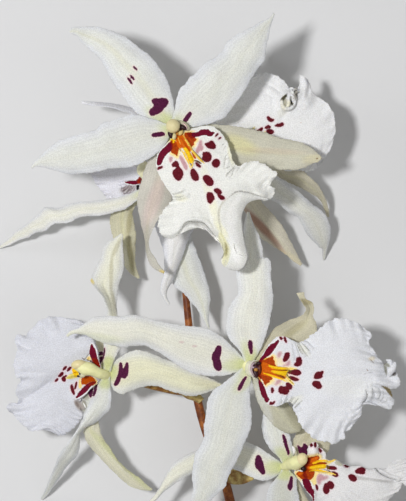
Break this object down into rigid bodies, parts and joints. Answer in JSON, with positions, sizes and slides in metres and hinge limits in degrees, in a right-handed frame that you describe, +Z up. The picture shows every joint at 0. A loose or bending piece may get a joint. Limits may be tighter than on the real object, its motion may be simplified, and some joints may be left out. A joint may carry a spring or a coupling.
{
  "type": "orchid flower spray",
  "caption": "Cut spray of a cambria orchid, lying flat: white blooms with maroon-spotted lips and narrow pointed tepals on one arching brown stem.",
  "frame": {"origin": "on the surface that the spray lies on, under the middle of its bounding box", "axes": "+Z up from the surface, +Y along the spray from the cut end of the stem towards its topmost bloom, +X to the right seen from above"},
  "size_m": [0.1814, 0.3026, 0.0737],
  "materials": {
    "petal": "matt, waxy, finely granular",
    "lip": "matt, waxy, finely granular",
    "callus": "waxy, satin",
    "column": "waxy, satin",
    "stalk": "smooth, matt",
    "stem": "smooth, satin",
    "bract": "dry, matt"
  },
  "bodies": {
    "root": {"a_dorsal_sepal": "petal", "a_left_petal": "petal", "a_right_petal": "petal", "a_right_sepal": "petal", "a_left_sepal": "petal", "a_lip": "lip", "a_callus": "callus", "a_column": "column", "a_stalk": "stalk", "b_right_sepal": "petal", "b_lower_petal": "petal", "b_left_sepal": "petal", "b_dorsal_sepal": "petal", "b_upper_petal": "petal", "b_lip": "lip", "b_callus": "callus", "b_column": "column", "b_stalk": "stalk", "c_dorsal_sepal": "petal", "c_upper_petal": "petal", "c_lower_petal": "petal", "c_upper_sepal": "petal", "c_lower_sepal": "petal", "c_lip": "lip", "c_callus": "callus", "c_column": "column", "c_stalk": "stalk", "d_left_sepal": "petal", "d_upper_sepal": "petal", "d_outer_petal": "petal", "d_dorsal_sepal": "petal", "d_inner_petal": "petal", "d_lip": "lip", "d_callus": "callus", "d_column": "column", "d_stalk": "stalk", "e_dorsal_sepal": "petal", "e_upper_petal": "petal", "e_lower_petal": "petal", "e_lower_sepal": "petal", "e_upper_sepal": "petal", "e_lip": "lip", "e_callus": "callus", "e_column": "column", "e_stalk": "stalk", "f_dorsal_sepal": "petal", "f_upper_petal": "petal", "f_lower_petal": "petal", "f_upper_sepal": "petal", "f_lower_sepal": "petal", "f_lip": "lip", "f_callus": "callus", "f_column": "column", "f_stalk": "stalk", "bract_c": "bract", "bract_e": "bract", "bract_f": "bract", "stem": "stem"}
  },
  "joints": []
}
